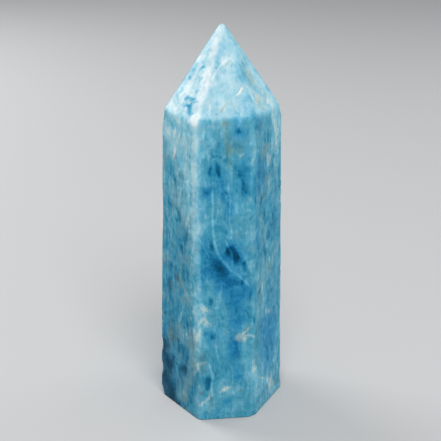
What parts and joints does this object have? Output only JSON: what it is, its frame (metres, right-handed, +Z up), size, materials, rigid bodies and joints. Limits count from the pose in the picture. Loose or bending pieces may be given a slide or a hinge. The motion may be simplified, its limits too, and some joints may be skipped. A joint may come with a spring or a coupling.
{
  "type": "polished crystal wand",
  "caption": "Blue apatite wand: a polished six-sided stone that stands on a flat sawn foot and rises to a six-sided point.",
  "frame": {"origin": "middle of the outline at the flat foot, on the surface that the wand stands on", "axes": "+Z up towards the point; the broad front side faces -Y; +X to the right of it"},
  "size_m": [0.026, 0.0234, 0.0799],
  "materials": {
    "apatite": "polished, mottled blue with pale veins"
  },
  "bodies": {
    "root": {"apatite_wand": "apatite"}
  },
  "joints": []
}
